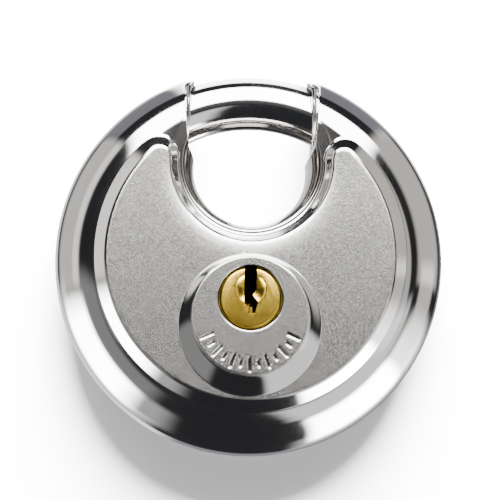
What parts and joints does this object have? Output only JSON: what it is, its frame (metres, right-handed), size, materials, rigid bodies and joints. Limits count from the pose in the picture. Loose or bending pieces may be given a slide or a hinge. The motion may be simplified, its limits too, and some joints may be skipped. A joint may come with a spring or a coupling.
{
  "type": "disc padlock",
  "caption": "Round stainless disc padlock with a raised crescent face, a boss round its brass keyway and a short curved shackle that turns across a closed eye.",
  "frame": {"origin": "on the back plateau at the disc's axis", "axes": "+Z out of the front face with the keyway, +Y from the disc's axis towards the shackle, +X to the right seen from the front"},
  "size_m": [0.07, 0.0687, 0.0266],
  "materials": {
    "shell_steel": "pressed stainless, mirror polished rim and bevels, satin plateau and boss face",
    "shackle_steel": "mirror polished stainless rod",
    "plug_brass": "turned yellow brass",
    "zinc_casting": "die-cast zinc, as cast",
    "inner_steel": "hardened steel",
    "spring_steel": "spring steel"
  },
  "bodies": {
    "root": {"front_shell": "shell_steel", "back_shell": "shell_steel", "lock_body": "zinc_casting", "chamber_cover": "inner_steel", "pin_spring_1": "spring_steel", "pin_spring_2": "spring_steel", "pin_spring_3": "spring_steel", "pin_spring_4": "spring_steel", "pin_spring_5": "spring_steel"},
    "shackle": {"shackle": "shackle_steel", "shackle_carrier": "inner_steel", "carrier_dowel_1": "inner_steel", "carrier_dowel_2": "inner_steel"},
    "plug": {"plug": "plug_brass", "plug_pinion": "inner_steel", "plug_clip": "spring_steel"},
    "key_pin_1": {"key_pin_1": "plug_brass"},
    "driver_pin_1": {"driver_pin_1": "inner_steel"},
    "key_pin_2": {"key_pin_2": "plug_brass"},
    "driver_pin_2": {"driver_pin_2": "inner_steel"},
    "key_pin_3": {"key_pin_3": "plug_brass"},
    "driver_pin_3": {"driver_pin_3": "inner_steel"},
    "key_pin_4": {"key_pin_4": "plug_brass"},
    "driver_pin_4": {"driver_pin_4": "inner_steel"},
    "key_pin_5": {"key_pin_5": "plug_brass"},
    "driver_pin_5": {"driver_pin_5": "inner_steel"}
  },
  "joints": [
    {"name": "shackle_turn", "type": "hinge", "parent": "root", "child": "shackle", "pos_m": [0, 0, 0.0128], "axis": [0, 0, -1], "range_deg": [0, 65]},
    {"name": "plug_turn", "type": "hinge", "parent": "root", "child": "plug", "pos_m": [0, -0.007, 0.0058], "axis": [0, 0, -1], "range_deg": [0, 140.84]},
    {"name": "key_pin_1_slide", "type": "slide", "parent": "plug", "child": "key_pin_1", "axis": [0, 1, 0], "range_m": [0, 0.0012]},
    {"name": "driver_pin_1_slide", "type": "slide", "parent": "root", "child": "driver_pin_1", "axis": [0, -1, 0], "range_m": [0, 0.0015], "stiffness_N_per_m": 60, "springref_m": -0.002, "deforming": ["pin_spring_1"]},
    {"name": "key_pin_2_slide", "type": "slide", "parent": "plug", "child": "key_pin_2", "axis": [0, 1, 0], "range_m": [0, 0.0012]},
    {"name": "driver_pin_2_slide", "type": "slide", "parent": "root", "child": "driver_pin_2", "axis": [0, -1, 0], "range_m": [0, 0.0015], "stiffness_N_per_m": 60, "springref_m": -0.002, "deforming": ["pin_spring_2"]},
    {"name": "key_pin_3_slide", "type": "slide", "parent": "plug", "child": "key_pin_3", "axis": [0, 1, 0], "range_m": [0, 0.0012]},
    {"name": "driver_pin_3_slide", "type": "slide", "parent": "root", "child": "driver_pin_3", "axis": [0, -1, 0], "range_m": [0, 0.0015], "stiffness_N_per_m": 60, "springref_m": -0.002, "deforming": ["pin_spring_3"]},
    {"name": "key_pin_4_slide", "type": "slide", "parent": "plug", "child": "key_pin_4", "axis": [0, 1, 0], "range_m": [0, 0.0012]},
    {"name": "driver_pin_4_slide", "type": "slide", "parent": "root", "child": "driver_pin_4", "axis": [0, -1, 0], "range_m": [0, 0.0015], "stiffness_N_per_m": 60, "springref_m": -0.002, "deforming": ["pin_spring_4"]},
    {"name": "key_pin_5_slide", "type": "slide", "parent": "plug", "child": "key_pin_5", "axis": [0, 1, 0], "range_m": [0, 0.0012]},
    {"name": "driver_pin_5_slide", "type": "slide", "parent": "root", "child": "driver_pin_5", "axis": [0, -1, 0], "range_m": [0, 0.0015], "stiffness_N_per_m": 60, "springref_m": -0.002, "deforming": ["pin_spring_5"]}
  ],
  "couplings": [
    {"joint": "plug_turn", "follows": "shackle_turn", "ratio": 2.1667}
  ]
}
